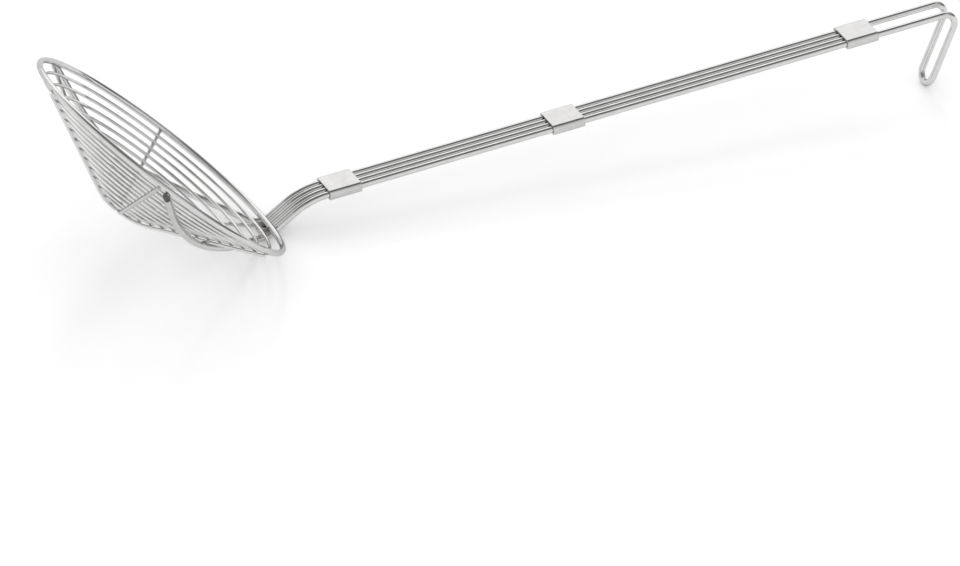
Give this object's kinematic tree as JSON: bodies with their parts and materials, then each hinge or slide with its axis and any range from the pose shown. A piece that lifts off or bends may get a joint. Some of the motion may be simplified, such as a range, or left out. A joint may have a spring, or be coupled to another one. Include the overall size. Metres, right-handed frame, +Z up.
{
  "type": "wire spider skimmer",
  "caption": "Long-handled wire skimmer: a shallow cone of welded wire rings on spokes, carried by a four-wire handle held by sheet clips, with a wire hanging hook.",
  "frame": {"origin": "centre of the footprint on the table, below the middle of the handle", "axes": "+X from the bowl towards the hanging hook, +Y across the handle, +Z up from the table the skimmer lies on"},
  "size_m": [0.4592, 0.143, 0.1],
  "materials": {
    "frame_wire": "electropolished stainless steel",
    "mesh_wire": "electropolished stainless steel",
    "clip_sheet": "satin stainless steel sheet"
  },
  "bodies": {
    "root": {"hook_clip": "clip_sheet", "inner_wire_left": "frame_wire", "inner_wire_right": "frame_wire", "mesh_ring_01": "mesh_wire", "mesh_ring_02": "mesh_wire", "mesh_ring_03": "mesh_wire", "mesh_ring_04": "mesh_wire", "mesh_ring_05": "mesh_wire", "mesh_ring_06": "mesh_wire", "mesh_ring_07": "mesh_wire", "mesh_ring_08": "mesh_wire", "mesh_ring_09": "mesh_wire", "mesh_ring_10": "mesh_wire", "mesh_ring_11": "mesh_wire", "mesh_ring_12": "mesh_wire", "middle_clip": "clip_sheet", "neck_clip": "clip_sheet", "outer_wire": "frame_wire", "rim_ring": "frame_wire", "spoke_000": "mesh_wire", "spoke_060": "mesh_wire", "spoke_180": "mesh_wire", "spoke_240": "mesh_wire", "spoke_through": "mesh_wire"}
  },
  "joints": []
}
